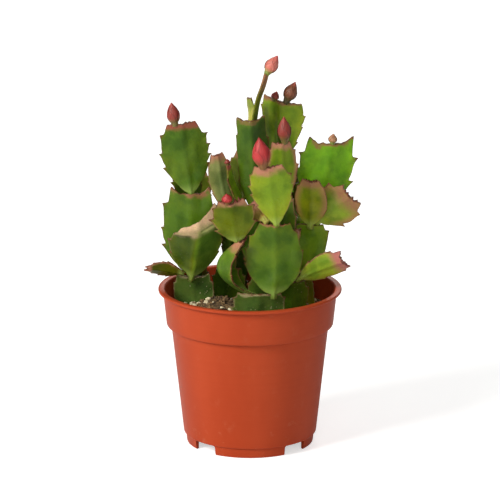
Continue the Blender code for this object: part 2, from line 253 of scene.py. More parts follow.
# The margins blush over the millimetres that Edge blush gives.
from_margin = plus(tree, edge, times(tree, cloud_drift, 1.6))
edge_mask = ramp(tree, from_margin, plus(tree, given["Edge blush"], 0.25), 0.0)
edge_mask = times(tree, edge_mask, ramp(tree, along, 0.05, 0.3))
edge_mask = times(tree, edge_mask, ramp(tree, given["Edge blush"], 0.0, 1.3, 0.0, 0.9))
mask = maths(tree, "MAXIMUM", tip_mask, edge_mask)
mask = times(tree, mask, ramp(tree, fine, 0.2, 0.6, 0.72, 1.0))
colour = mix(tree, mask, colour, given["Blush"])
# The tips of the teeth are crimson, and a broken brown line runs along the very edge.
tooth_mask = ramp(tree, attribute(tree, "tooth"), 0.15, 0.85, 0.0, 0.85)
colour = mix(tree, tooth_mask, colour, (0.170, 0.034, 0.022))
broken = ramp(tree, grain(tree, 420, 2), 0.36, 0.62, 0.2, 0.85)
dry = times(tree, ramp(tree, edge, 0.50, 0.08), broken)
dry = times(tree, dry, ramp(tree, given["Edge blush"], 0.0, 0.3))
colour = mix(tree, dry, colour, (0.115, 0.030, 0.016))
print("with blush:", len(flesh_group.nodes), "nodes")

# %% Group: cactus flesh, its specks, gloss and relief
# Old segments carry pale corky specks.
place = node(tree, "TexCoord").outputs["Object"]
dots = node(tree, "TexVoronoi", {"Vector": place, "Scale": 520.0}, feature="F1").outputs["Distance"]
speck = times(tree, ramp(tree, dots, 0.24, 0.1), ramp(tree, cloud, 0.48, 0.66))
colour = mix(tree, times(tree, speck, given["Specks"]), colour, (0.42, 0.40, 0.24))
height = plus(tree, times(tree, cloud, 0.9), times(tree, fine, 0.12))
height = minus(tree, height, times(tree, vein, 0.03))
put(result["Colour"], colour)
put(result["Roughness"], ramp(tree, cloud, 0.3, 0.7, 0.27, 0.46))
put(result["Normal"], relief(tree, 0.55, 0.0011, height))
print("flesh group:", len(flesh_group.nodes), "nodes")

# %% [markdown]
# ## Colours of the plant
# Young segments are yellow-green, old and shaded ones blue-green, and those that stood in strong light
# turn olive. The blush runs from straw and cream over pink to a brown crimson. Each segment is given
# one flesh colour and one blush colour from these two small tables. The flesh called shadow is painted
# shade: a darker flesh for a wing that lies in shade.

# %% Flesh and blush colours
FLESH = {
    "dark": (0.046, 0.100, 0.012),
    "deep": (0.056, 0.122, 0.006),
    "leaf": (0.076, 0.156, 0.007),
    "spring": (0.140, 0.255, 0.008),
    "bright": (0.155, 0.370, 0.008),
    "olive": (0.125, 0.168, 0.009),
    "lime": (0.170, 0.275, 0.012),
    "grey": (0.215, 0.255, 0.085),
    "rust": (0.250, 0.185, 0.040),
    # Painted shade: a darker flesh for a wing that lies in shade.
    "shadow": (0.052, 0.088, 0.003),
    "moss": (0.100, 0.155, 0.004),
    "russet": (0.195, 0.255, 0.006),
    "slate": (0.068, 0.130, 0.025),
    "fern": (0.105, 0.205, 0.020),
    "bronze": (0.070, 0.088, 0.003),
    "butter": (0.260, 0.380, 0.030),
    "pale": (0.330, 0.390, 0.085),
}
BLUSH = {
    "crimson": (0.300, 0.075, 0.050),
    "brown": (0.280, 0.120, 0.055),
    "pink": (0.480, 0.200, 0.130),
    "cream": (0.740, 0.490, 0.310),
    "magenta": (0.500, 0.160, 0.150),
    "straw": (0.400, 0.360, 0.180),
    "rosy": (0.350, 0.165, 0.080),
}


def flesh_material(name, flesh, blush, rib, tip, margin, specks, right=None):
    """The finish of one segment. Its right wing may have a flesh of its own, which paints light and shade on
    a fold.
    """
    material, tree, shader = new_material(
        name + "_flesh", Specular_IOR_Level=0.2, Coat_Weight=0.025, Coat_Roughness=0.3,
        Subsurface_Weight=0.12, Subsurface_Radius=(0.4, 1.0, 0.2), Subsurface_Scale=0.0016)
    group = node(tree, "Group", node_tree=flesh_group)
    values = {"Flesh": FLESH[flesh], "Right flesh": FLESH[right or flesh], "Blush": BLUSH[blush],
              "Rib": rib, "Tip blush": tip, "Edge blush": margin, "Specks": specks}
    for label, value in values.items():
        put(group.inputs[label], value)
    put(shader.inputs["Base Color"], group.outputs["Colour"])
    put(shader.inputs["Roughness"], group.outputs["Roughness"])
    put(shader.inputs["Normal"], group.outputs["Normal"])
    return material


print(len(FLESH), "flesh colours,", len(BLUSH), "blush colours")

# %% [markdown]
# ## The segments and how each one grows
# A segment grows from the apex of the one below, so what sets it apart is the way it leans, tips and
# turns, how its two wings fold, and how its outline swells. The table holds that for every segment.
# Where it stands is not in the table: that is measured on its plain solid.

# %% Table of segments
@dataclass
class Blade:
    """One flat stem segment. Lengths in millimetres, angles in degrees."""

    name: str
    length: float
    width: float
    lean: float = 0  # towards +X
    tip: float = 0  # towards +Y
    turn: float = 0  # about its own length
    fold: float = 6  # each wing swept back from the midrib
    bow: float = 1  # how far its middle stands behind its ends
    curl: float = 0  # how far its last fifth is turned back
    slant: float = 0  # how far its right side runs ahead at the apex
    peak: float = 0.58  # where it is widest
    belly: float = 0.85  # how it swells from its neck: rounder below 0.85, hollower above
    apex: float = 0.62  # width of its cut-off apex against its widest
    horn: float = 2.0  # how far the apex corners stand out
    teeth: float = 1.0  # size of its teeth and of the notches between them, against the usual one
    bite: float = 1.0  # size of its teeth alone
    plump: float = 1.0  # thickness against the usual one
    fringe: float = 0.4  # how far small spikes stand out of the apex
    # Flesh, blush, rib (above zero a painted highlight on the midrib), tip blush, margin blush in mm,
    # specks, and the right wing's flesh if it differs, which paints the light and shade of the fold
    look: tuple = ("leaf", "brown", -0.3, 0.0, 0.4, 0.0)


BLADES = (
    Blade("left_base", 25, 23, 0, -6, -5, peak=0.55, apex=0.8, teeth=0.6,
          look=("slate", "straw", 0.1, 0.03, 0.8, 1.0)),
    Blade("left_broad", 46, 31, 0, 6, -4, fold=4, peak=0.52, belly=0.72, apex=0.72, horn=4,
          look=("leaf", "brown", 0.35, 0.03, 0.4, 0.1)),
    Blade("left_crown", 41, 26.5, -7.5, -4, 7, peak=0.6, belly=0.75, apex=0.6, horn=0.5,
          look=("leaf", "crimson", -0.35, 0.07, 0.3, 0.0), fringe=0.9),
    Blade("left_folded", 38, 33, 8, -22, 4, fold=28, curl=70, slant=10, peak=0.5, belly=0.62,
          look=("shadow", "cream", 1.0, 0.205, 0.45, 0.1, "fern"), bite=0.5),
    Blade("left_spur", 19.5, 11, -80, -12, -35, peak=0.5, apex=0.3,
          look=("bronze", "pink", -0.2, 0.08, 1.0, 0.0)),
    Blade("middle_base", 26, 18, -1, -3, 0, apex=0.8, horn=0.4,
          look=("deep", "straw", 0.2, 0.0, 0.4, 0.6)),
    Blade("middle_stem", 35, 10, -5, -6, 8, look=("deep", "brown", 0.2, 0.0, 0.4, 0.2)),
    Blade("middle_pale", 33, 14, -10, -1, 20, apex=0.5, horn=1, teeth=0.5,
          look=("grey", "pink", -0.1, 0.08, 0.7, 0.0)),
    Blade("front_base", 20, 29, 0, 0, 4, fold=3, peak=0.5, apex=0.86, horn=1,
          look=("slate", "straw", -0.4, 0.03, 0.8, 1.0)),
    Blade("front_round", 40, 32, 1, 4, 3, fold=11, peak=0.5, belly=0.6, apex=0.54, horn=1,
          look=("leaf", "brown", 0.45, 0.02, 0.4, 0.0), bite=0.55),
    Blade("front_pale", 34, 23.5, -8, -7, -6, peak=0.68, apex=0.66, horn=1,
          look=("lime", "pink", -0.15, 0.10, 0.6, 0.0), bite=0.8, fringe=0.8),
    Blade("front_stub", 12, 12, -46, 28, 0, peak=0.6, apex=0.8,
          look=("rust", "pink", 0.0, 0.4, 1.4, 0.0)),
    Blade("front_turned", 29, 24, -8, 0, -100, fold=40, bow=-13,
          look=("leaf", "pink", -0.2, 0.12, 0.8, 0.0, "fern")),
    Blade("front_toothed", 24, 23, -8, -12, 0, peak=0.62, belly=0.65, teeth=1.5,
          look=("moss", "pink", -0.2, 0.09, 0.7, 0.0), fringe=3.0, bite=0.9),
    Blade("tall_base", 21, 20, 0, 0, 0, apex=0.8, look=("dark", "straw", 0.2, 0.0, 0.4, 0.8)),
    Blade("tall_stem", 38, 21, -6, 0, 6, horn=0.4, look=("deep", "brown", 0.2, 0.0, 0.4, 0.2)),
    Blade("tall_dark", 56, 19.5, -4, 0, 0, fold=24, peak=0.5, apex=0.88,
          look=("deep", "brown", 0.1, 0.01, 0.3, 0.0, "dark"), bite=0.6),
    Blade("tall_carrier", 46, 9, -4, 5, 0, teeth=0.5, horn=0, look=("deep", "brown", 0.1, 0.0, 0.4, 0.0)),
    Blade("tall_edge", 35, 11, 13, 0, 80, teeth=0.4, apex=0.4, horn=0,
          look=("olive", "brown", 0.0, 0.34, 0.0, 0.0), plump=1.15),
    Blade("tall_sliver", 20, 6.5, -3, 5, -50, teeth=0.5, horn=0.5,
          look=("pale", "straw", 0.1, 0.05, 0.3, 0.0)),
    Blade("tall_fork", 26, 12, 16, 16, 0, look=("leaf", "brown", 0.2, 0.0, 0.4, 0.0)),
    Blade("tall_fan", 36.5, 26, 2, 4, -18, fold=18, slant=-2, peak=0.84, apex=0.92, horn=0.9,
          look=("lime", "brown", -0.7, 0.03, 0.5, 0.0), fringe=0.8, bite=0.6),
    Blade("side_sprig", 32, 10, -21, -3, 74, apex=0.4, horn=0.5,
          look=("spring", "crimson", 0.1, 0.05, 0.4, 0.0), plump=1.15),
    Blade("inner_stem", 48, 15, 5, -2, 0, look=("leaf", "pink", 0.2, 0.0, 0.8, 0.0)),
    Blade("inner_lime", 33, 17, -4, 1, 14, peak=0.6, apex=0.6, horn=1,
          look=("lime", "pink", -0.15, 0.08, 2.6, 0.0), fringe=0.9),
    Blade("right_base", 25, 18, 0, -6, 0, apex=0.8, horn=0.2, look=("deep", "straw", 0.1, 0.0, 0.4, 0.8)),
    Blade("right_low", 26, 16, 64, -12, 20, peak=0.6, belly=0.65, apex=0.8,
          look=("butter", "magenta", -0.1, 0.20, 0.8, 0.0), fringe=1.0),
    Blade("right_edge", 29, 12, 12, 6, 66, horn=1,
          look=("rust", "brown", 0.0, 0.05, 1.4, 0.0), plump=1.2),
    Blade("right_back_base", 23, 14, -8, 4, 52, apex=0.8, teeth=0.5,
          look=("olive", "straw", 0.2, 0.0, 1.0, 0.4)),
    Blade("right_stem", 31, 21, 5, -2, 8, peak=0.6, apex=0.7, horn=0.2,
          look=("spring", "brown", 0.1, 0.0, 0.4, 0.0)),
    Blade("right_russet", 27.5, 19, 0, -14, -12, peak=0.5, belly=0.62, apex=0.5, horn=1,
          look=("russet", "rosy", -0.5, 0.14, 5.0, 0.0), bite=0.4, fringe=1.2),
    Blade("right_wing", 23.6, 24.5, 48, -12, 4, peak=0.6, belly=0.65, teeth=1.2,
          look=("butter", "rosy", -0.3, 0.30, 5.2, 0.0), fringe=1.6),
    Blade("right_crown", 46, 31, 10, 3, 12, slant=2, peak=0.66, apex=0.82, horn=4,
          look=("bright", "brown", 0.15, 0.015, 0.3, 0.0), bite=1.3, fringe=0.6),
    Blade("back_left_stem", 58, 24, -5, 7, 62, look=("leaf", "straw", 0.3, 0.0, 0.4, 0.3)),
    Blade("back_left_crown", 31, 22, -6, 2, 40, peak=0.74,
          look=("leaf", "crimson", -0.35, 0.08, 0.5, 0.0)),
    Blade("back_stem", 58, 22, -2, 8, -48, look=("deep", "brown", 0.3, 0.0, 0.4, 0.3)),
    Blade("back_crown", 31, 19, 14, 6, -30, peak=0.6, look=("olive", "pink", -0.35, 0.1, 0.8, 0.0)),
    Blade("back_middle_stem", 55, 22, 2, 3, 74, horn=0.2, look=("deep", "straw", 0.2, 0.0, 0.4, 0.4)),
    Blade("back_middle_crown", 31, 19, 8, 4, 60, look=("leaf", "brown", -0.3, 0.05, 0.6, 0.0)),
    Blade("back_right_stem", 53, 24, 3, 7, -58, look=("leaf", "straw", 0.3, 0.0, 0.4, 0.3)),
    Blade("back_right_crown", 31, 21, 14, 3, -36, look=("olive", "brown", -0.3, 0.08, 0.8, 0.0)),
    Blade("back_left_fork", 24, 17, -6, 44, 16, teeth=1.3, look=("olive", "pink", -0.3, 0.15, 0.9, 0.0)),
    Blade("back_middle_fork", 21, 14, 6, 34, 84, teeth=1.3,
          look=("lime", "magenta", -0.2, 0.2, 0.8, 0.0)),
    Blade("back_right_fork", 24, 17, 10, 44, -16, teeth=1.3,
          look=("bright", "crimson", -0.2, 0.06, 0.5, 0.0)),
)
print(len(BLADES), "segments")

# %% [markdown]
# ## The shape of one segment
# Its middle surface is a sheet: the outline swells from a narrow neck to its widest part and is cut
# off at the apex, the wings fold back from the midrib, and some segments bow or curl. A formula for
# that sheet is easier to read than sculpting, and the plain solids were grown from the same one, so
# the finished segment lies in its solid once the two middles are brought together.

# %% The middle surface
NECK_HALF_WIDTH = 1.9
CURL_START = 0.78
CAD_ROWS = (0.0, 0.07, 0.20, 0.36, 0.40, 0.51, 0.62, 0.66, 0.84, 0.88, 1.0)
CAD_COLUMNS = (-1, -0.5, 0, 0.5, 1)


def half_width(blade, along):
    """Half of the segment's width in millimetres, without teeth."""
    widest = blade.width / 2
    if along <= blade.peak:
        swell = math.sin(math.pi / 2 * max(along, 0) / blade.peak) ** blade.belly
        return NECK_HALF_WIDTH + (widest - NECK_HALF_WIDTH) * swell
    past = (along - blade.peak) / (1 - blade.peak)
    return widest * (1 - (1 - blade.apex) * past**2)


def surface_point(blade, along, sideways, forward):
    """A point of the middle surface in millimetres: X across, Y back, Z along."""
    forward += blade.slant * sideways / max(half_width(blade, along), 1) * max(along, 0) ** 2
    straight = min(along, CURL_START) * blade.length
    curled = max(along - CURL_START, 0) * blade.length
    if curled > 0:
        curled += forward
    else:
        straight += forward
    fold, curl = math.radians(blade.fold), math.radians(blade.curl)
    back = blade.bow * 4 * along * (1 - along) + curled * math.sin(curl) + abs(sideways) * math.sin(fold)
    return Vector((sideways * math.cos(fold), back, straight + curled * math.cos(curl)))


def turned(blade):
    """The rotation that leans, tips and turns a piece."""
    angles = -blade.tip, blade.lean, getattr(blade, "turn", 0)
    return Euler([math.radians(angle) for angle in angles], "ZXY").to_matrix()


def middle(points):
    """The middle of some points."""
    return sum(points, Vector()) / len(points)


print("middle surface ready")

# %% [markdown]
# ## Teeth
# The margin of this cactus has two to four hooked teeth on each side. Each rises slowly, leans
# towards the apex and ends in a sharp step down to a notch, where a tuft of bristles sits. No two are
# alike, so each side of each segment draws its own teeth from a random stream that starts from the
# segment's name.

# %% Teeth and apex edge
@dataclass
class Tooth:
    """One tooth: where it starts, peaks and ends along the segment, and its reach in millimetres."""

    start: float
    tip: float
    end: float
    reach: float


def draw_teeth(blade, rng):
    """The teeth of one margin, from the neck to the apex."""
    count = (2 if blade.length < 33 else 3) + (rng.random() < 0.25)
    first, last = 0.34 + rng.uniform(-0.05, 0.07), 0.84 + rng.uniform(-0.05, 0.03)
    teeth, start = [], 0.10
    for number in range(count):
        tip = first + (last - first) * number / (count - 1) + rng.uniform(-0.035, 0.035)
        end = tip + rng.uniform(1.0, 1.5) / blade.length
        reach = blade.width * blade.teeth * blade.bite * rng.uniform(0.055, 0.105)
        teeth.append(Tooth(start, tip, end, min(reach, 3.0)))
        start = end
    return teeth


def tooth_offset(blade, teeth, along):
    """How far the margin stands out and forward at one height, in millimetres."""
    cut = 0.010 * blade.width * blade.teeth
    for tooth in teeth:
        hook = min(0.6 * tooth.reach, 0.55 * (tooth.end - tooth.tip) * blade.length)
        if tooth.start < along <= tooth.tip:
            rise = (along - tooth.start) / (tooth.tip - tooth.start)
            lobe = 0.28 * math.sin(math.pi / 2 * min(1.25 * rise, 1))
            out = (lobe + 0.72 * rise**6) * tooth.reach - cut * (1 - rise) ** 2
            return out, hook * rise**6
        if tooth.tip < along <= tooth.end:
            fall = 1 - (along - tooth.tip) / (tooth.end - tooth.tip)
            return -cut + (tooth.reach + cut) * fall**1.7, hook * fall**1.5
    if along > teeth[-1].end:
        rise = (along - teeth[-1].end) / (1 - teeth[-1].end)
        return -cut * (1 - rise), 0
    return 0, 0


EVEN_STEPS = 56
CLOSEST_ROWS = 0.0015  # as a share of the length


def rows_of(blade, sides, extend):
    """Heights of the mesh rows: even ones, and close ones around each tooth's tip."""
    even = [number / EVEN_STEPS for number in range(EVEN_STEPS + 1)]
    close = []
    for tooth in sides[0] + sides[1]:
        fall = tooth.end - tooth.tip
        close += [tooth.tip + share * fall for share in (-0.4, 0, 0.35, 0.7)] + [tooth.end]
    kept = []
    for number, value in enumerate(close):
        if all(abs(value - other) > CLOSEST_ROWS for other in close[:number]):
            kept.append(value)
    rows = [value for value in even if all(abs(value - other) > 0.005 for other in kept)]
    return [-extend / blade.length] + sorted(rows + kept)


shown = draw_teeth(BLADES[2], random.Random("left_crown"))
print("teeth of the left crown, along its length:", [round(tooth.tip, 2) for tooth in shown])

# %% [markdown]
# ## Where a neck meets the segment below
# The plain solids keep a small gap at every joint, while on the plant a segment grows straight out of
# the one below. Joining all the meshes would lose the separate segments, so each neck is only made
# longer, by the distance to its nearest neighbour, which a search tree over each solid finds quickly.

# %% Gaps at the necks
FAR = 99.0
NECK_OVERLAP = 0.5
search_trees = {}


def gap_below(name, point):
    """The distance from a point to the nearest other piece, in millimetres."""
    nearest = FAR
    for other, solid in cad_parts.items():
        if other in (name, "nursery_pot"):
            continue
        if other not in search_trees:
            corners = [vert.co for vert in solid.data.vertices]
            faces = [polygon.vertices for polygon in solid.data.polygons]
            search_trees[other] = BVHTree.FromPolygons(corners, faces)
        found = search_trees[other].find_nearest(point, 20 * MM)
        if found[0] is not None:
            nearest = min(nearest, found[3] / MM)
    return nearest


shown = gap_below("bud_top", middle(solid_points("bud_top")))
print("the middle of the top bud is", round(shown, 1), "mm from the next piece")

# %% [markdown]
# ## What chance gives a segment
# Before its mesh is made, a segment finds its base and draws its teeth, the small spikes of its apex
# and a place in the noise that makes its surface uneven. The base follows from its plain solid: the
# middle of the solid's points and the middle of the same points of the formula have to fall together.

# %% Draw one segment's growth
LONGEST_NECK = 4.5
APEX_SPIKES = (-0.62, -0.28, 0.30, 0.60)


@dataclass
class Growth:
    """Where a segment stands and what was drawn for it. Lengths in millimetres."""

    rotation: Matrix
    base: Vector
    seed: Vector
    sides: tuple  # the teeth of its left and right margin
    spikes: list
    extend: float


def grow(blade, rng):
    """The growth of one segment."""
    rotation = turned(blade)
    seed = Vector([rng.uniform(0, 90) for _ in range(3)])
    own = [rotation.transposed() @ point / MM for point in solid_points(blade.name)]
    coarse = [surface_point(blade, row, half_width(blade, row) * column, 0)
              for row in CAD_ROWS for column in CAD_COLUMNS]
    base = rotation @ (middle(own) - middle(coarse))
    extend = min(gap_below(blade.name, base * MM) + NECK_OVERLAP, LONGEST_NECK)
    sides = draw_teeth(blade, rng), draw_teeth(blade, rng)
    spikes = [place + rng.uniform(-0.08, 0.08) for place in APEX_SPIKES]
    return Growth(rotation, base, seed, sides, spikes, extend)


shown = grow(BLADES[2], random.Random("left_crown"))
print("the left crown's neck starts at", [round(value, 1) for value in shown.base], "mm")

# %% [markdown]
# ## Building the segments
# Each segment starts as a grid, finer towards its margins, whose points are moved onto the middle
# surface and out into the teeth. The Solidify modifier then gives it its thickness, full along the
# midrib and thin at the margins. That keeps a sheet of a few thousand faces easy to shape.

# %% Margin, apex and unevenness
APEX_CRENATION = 0.25


def margin_and_apex(blade, growth, across, row):
    """How far a point stands sideways and forward, and how much it belongs to the tip of a tooth."""
    spread, seed = abs(across), growth.seed
    hold = spread**7
    out, ahead = tooth_offset(blade, growth.sides[across > 0], row)
    drift = noise.noise(seed + Vector((across * 1.5, row * blade.length / 5, 0))) * 0.35
    out += drift * smoothstep(0.02, 0.2, row)
    sideways = half_width(blade, row) * across + math.copysign(1, across) * out * hold
    apex = smoothstep(0.86, 1.0, row)
    spike = max(max(0, 1 - abs(across - place) / 0.15) for place in growth.spikes)
    forward = ahead * spread**4
    forward += blade.horn * apex * smoothstep(0.5, 1.0, spread) ** 1.2
    forward += blade.fringe * smoothstep(0.93, 1.0, row) * spike**1.4
    forward += 2 * apex * APEX_CRENATION * noise.noise(seed + Vector((sideways * 0.55, 9, 9)))
    apex_tip = max(spike * blade.fringe / 1.2, spread**9 * blade.horn / 3)
    tooth = max(ahead / 0.9 * hold, smoothstep(0.95, 1, row) * apex_tip)
    return sideways, forward, tooth


def unevenness(blade, growth, sideways, row, spread):
    """How far the flesh swells and dips between its veins, and how its margins ripple."""
    wave = noise.noise(growth.seed + Vector((sideways / 7, row * blade.length / 10, 3)))
    ripple = noise.noise(growth.seed + Vector((sideways / 6, row * blade.length / 4, 7))) * spread**4
    return (0.85 * wave + 0.6 * ripple) * smoothstep(0.0, 0.25, row)


tip = margin_and_apex(BLADES[2], shown, 1.0, 1.0)
print("the left crown's apex corner stands", round(tip[0], 1), "mm out and", round(tip[1], 1), "mm forward")

# %% The sheet of a segment
COLUMNS = 36


def segment_sheet(blade, growth):
    """The grid of one segment, with what its finish and its thickness read stored on its points."""
    rows = rows_of(blade, growth.sides, growth.extend)
    bm = bmesh.new()
    bmesh.ops.create_grid(bm, x_segments=COLUMNS, y_segments=len(rows) - 1, size=1)
    thick = bm.verts.layers.deform.new()
    layers = [bm.verts.layers.float.new(name) for name in ("along", "across", "edge", "tooth")]
    for vert in bm.verts:
        across = math.sin(math.pi / 2 * vert.co.x)  # columns crowd towards the margins
        row = rows[round((vert.co.y + 1) / 2 * (len(rows) - 1))]
        spread = abs(across)
        sideways, forward, tooth = margin_and_apex(blade, growth, across, row)
        point = surface_point(blade, row, sideways, forward)
        point.y += unevenness(blade, growth, sideways, row, spread)
        vert.co = (growth.rotation @ point + growth.base) * MM
        flesh = 0.62 * (1 - spread**2.4) + 0.38 * math.exp(-((across / 0.17) ** 2))
        vert[thick][0] = min(max(flesh, 0), 1)
        edge = min((1 - spread) * half_width(blade, row), max(1 - row, 0) * blade.length)
        for layer, value in zip(layers, (row, across, edge, tooth)):
            vert[layer] = value
    bmesh.ops.recalc_face_normals(bm, faces=bm.faces)
    return bm


bm = segment_sheet(BLADES[2], shown)
print("the left crown's sheet:", len(bm.faces), "faces")
bm.free()

# %% Places of the bristles
APEX_AREOLES = 7
areoles = []


def add_areoles(blade, growth, rng):
    """Notes each areole of a segment: its place, the way its bristles point and how many it has."""
    def note(spot, way, count):
        areoles.append(((growth.rotation @ spot + growth.base) * MM, growth.rotation @ way, count))

    for sign, teeth in zip((-1, 1), growth.sides):
        for tooth in teeth:
            out, _ = tooth_offset(blade, teeth, tooth.end)
            sideways = sign * (half_width(blade, tooth.end) + out)
            note(surface_point(blade, tooth.end, sideways, 0), Vector((sign * 0.8, 0, 0.6)), 3)
    for number in range(APEX_AREOLES):
        across = -0.9 + 1.8 * number / (APEX_AREOLES - 1) + rng.uniform(-0.1, 0.1)
        sideways = across * half_width(blade, 1)
        corner = blade.horn * smoothstep(0.5, 1, abs(across)) ** 1.2
        beyond = surface_point(blade, 1.0, sideways, 1.0 + blade.horn)
        before = surface_point(blade, 0.97, across * half_width(blade, 0.97), 0)
        note(surface_point(blade, 1.0, sideways, corner), (beyond - before).normalized(), 2)


print("a segment has", APEX_AREOLES, "areoles along its apex")

# %% Build every segment
FLESH_THICKNESS = 2.6 * MM
MARGIN_SHARE = 0.26


def build_segment(blade):
    """One finished segment. It gives how far its neck was carried on, in millimetres."""
    rng = random.Random(blade.name)
    growth = grow(blade, rng)
    sheet = segment_sheet(blade, growth)
    material = flesh_material(blade.name, *blade.look)
    piece = add_piece("cactus_" + blade.name, sheet, [material], blade.name)
    piece.vertex_groups.new(name="flesh")
    solidify = piece.modifiers.new("Flesh", "SOLIDIFY")
    solidify.thickness = FLESH_THICKNESS * blade.plump
    solidify.offset = 0
    solidify.vertex_group = "flesh"
    solidify.thickness_vertex_group = MARGIN_SHARE
    add_areoles(blade, growth, rng)
    return growth.extend


reaches = {blade.name: build_segment(blade) for blade in BLADES}
longest = {name: round(reach, 1) for name, reach in reaches.items() if reach > 1.5}
print("necks carried on by, in mm:", longest)

# %% [markdown]
# ## Bristles
# A notch of this cactus hides an areole with a few short brown bristles, and a ragged fringe of them
# stands along the apex. Each is a slim cone of four sides: there are hundreds, so each must be light.

# %% Build the bristles
bristle_material, tree, shader = new_material("bristle_fibre", Roughness=0.6)
put(shader.inputs["Base Color"], mix(tree, grain(tree, 700, 2), (0.30, 0.10, 0.05), (0.16, 0.045, 0.03)))
rng = random.Random(11)
bm = bmesh.new()
for spot, way, count in areoles:
    for _ in range(count):
        length = rng.uniform(0.5, 1.15) * MM
        direction = (way + Vector([rng.uniform(-0.45, 0.45) for _ in range(3)])).normalized()
        tilt = direction.to_track_quat("Z", "Y").to_matrix().to_4x4()
        matrix = Matrix.Translation(spot + direction * length * 0.42) @ tilt
        bmesh.ops.create_cone(bm, cap_ends=True, segments=4, radius1=0.16 * MM, radius2=0.02 * MM,
                              depth=length, matrix=matrix)
add_piece("areole_bristles", bm, [bristle_material], smooth=False)
print(sum(count for _, _, count in areoles), "bristles")

# %% [markdown]
# ## Flower buds
# A bud is a spindle of overlapping pointed tepals on a short green base. A smooth core alone would
# look like a bean, so pointed scales are wrapped around it in three whorls, each a small grid bent
# onto the core's outline and lifted a little at its edges. Colour runs from olive at the base through
# crimson to a darker point, with fine streaks along each tepal.

# %% Bud colours
def bud_material(name, base, body, tip):
    """The finish of a bud, from the colour of its base to that of its point."""
    material, tree, shader = new_material(
        name, Roughness=0.42,
        Subsurface_Weight=0.15, Subsurface_Radius=(1.0, 0.3, 0.25), Subsurface_Scale=0.0012)
    along, across, edge = (attribute(tree, label) for label in ("along", "across", "edge"))
    # The noise is stretched along each tepal, so that it reads as streaks.
    place = {"X": times(tree, across, 9.0), "Y": times(tree, along, 1.6), "Z": edge}
    place = node(tree, "CombineXYZ", place).outputs[0]
    streak = node(tree, "TexNoise", {"Vector": place, "Scale": 2.2, "Detail": 3.0}).outputs["Fac"]
    climb = plus(tree, along, times(tree, minus(tree, streak, 0.5), 0.3))
    colour = mix(tree, ramp(tree, climb, 0.05, 0.42), base, body)
    colour = mix(tree, ramp(tree, climb, 0.72, 1.0), colour, tip)
    colour = tint(tree, ramp(tree, streak, 0.48, 0.70, 0.0, 0.7), colour, (1.45, 2.3, 2.1))
    margin = ramp(tree, maths(tree, "ABSOLUTE", across), 0.72, 0.98, 0.0, 0.8)
    colour = tint(tree, margin, colour, (0.5, 0.34, 0.34))
    put(shader.inputs["Base Color"], colour)
    put(shader.inputs["Normal"], relief(tree, 0.35, 0.0004, streak))
    return material


GREEN, OLIVE = (0.20, 0.24, 0.04), (0.17, 0.13, 0.035)
bud_looks = {
    "ripe": bud_material("bud_ripe", (0.24, 0.11, 0.04), (0.47, 0.026, 0.030), (0.40, 0.020, 0.024)),
    "brown": bud_material("bud_brown", OLIVE, (0.265, 0.030, 0.021), (0.42, 0.050, 0.040)),
    "pink": bud_material("bud_pink", GREEN, (0.62, 0.150, 0.120), (0.60, 0.080, 0.080)),
    "young": bud_material("bud_young", (0.060, 0.045, 0.012), (0.19, 0.052, 0.020), (0.56, 0.105, 0.085)),
    "pale": bud_material("bud_pale", GREEN, (0.44, 0.190, 0.100), (0.52, 0.240, 0.160)),
}
print(len(bud_looks), "bud looks")

# %% [markdown]
# ## The outline and the scales of a bud
# The outline is a sine that leans towards the base, so the bud is fullest below its middle and ends
# in a point. A tepal is a small grid laid on that outline: its sides draw together to a point, its
# middle has a low keel, and its rim lifts a little, which gives each scale an edge that catches light.

# %% Bud outline and tepals
@dataclass
class Bud:
    """One flower bud. Lengths in millimetres, angles in degrees."""

    name: str
    length: float
    width: float
    lean: float
    tip: float
    look: str


BUDS = (
    Bud("bud_left", 13.4, 6.6, -9, -4, "brown"),
    Bud("bud_front", 18, 9.2, -8, -6, "ripe"),
    Bud("bud_inner", 15.4, 7.0, -2, -4, "brown"),
    Bud("bud_top", 12.6, 6.6, 30, -8, "pink"),
    Bud("bud_fan_small", 5.5, 4.0, 18, 0, "brown"),
    Bud("bud_fan", 12.6, 6.8, 25, 0, "young"),
    Bud("bud_right", 6.0, 4.4, 8, 0, "pale"),
    Bud("bud_toothed", 6.0, 5.2, -5, -10, "ripe"),
    Bud("bud_sprig", 3.6, 2.8, -8, 0, "brown"),
)
TEPAL_COLUMNS, TEPAL_ROWS = 10, 18


def bud_radius(bud, along):
    """The bud's outline: a broad base, a swollen middle and a pointed tip, in millimetres."""
    swell = max(math.sin(math.pi * min(max(along, 0), 1) ** 0.9), 0)
    return (0.40 * (1 - along) + 0.80 * swell**1.05) * bud.width / 2


def add_tepal(bm, layers, bud, middle_angle, half_angle, low, high, lift):
    """One pointed scale on the bud's outline."""
    grid = bmesh.ops.create_grid(bm, x_segments=TEPAL_COLUMNS, y_segments=TEPAL_ROWS, size=1)
    for vert in grid["verts"]:
        across, share = vert.co.x, (vert.co.y + 1) / 2
        along = low + (high - low) * share
        narrowing = math.sin(math.pi * (0.12 + 0.88 * share) ** 0.8) ** 0.55 if share < 1 else 0
        angle = middle_angle + half_angle * across * narrowing
        radius = bud_radius(bud, along) * (1.0 + lift * (0.35 + 0.65 * share)) + 0.09
        radius += 0.16 * across**2 * math.sin(math.pi * share) + 0.10 * math.exp(-((across / 0.25) ** 2))
        vert.co = Vector((radius * math.cos(angle), radius * math.sin(angle), along * bud.length))
        for layer, value in zip(layers, (along, across, middle_angle)):
            vert[layer] = value


print("widest radius of the front bud:", max(round(bud_radius(BUDS[1], n / 20), 1) for n in range(21)), "mm")

# %% Build the buds
# Each whorl of three tepals: half their angle, where they start and end along the bud, how far they lift
WHORLS = ((1.15, 0.40, 0.975, 0.0), (1.05, 0.26, 0.90, 0.05), (0.85, 0.14, 0.62, 0.11))
TEPALS = 3
WHORL_TURN = 1.05


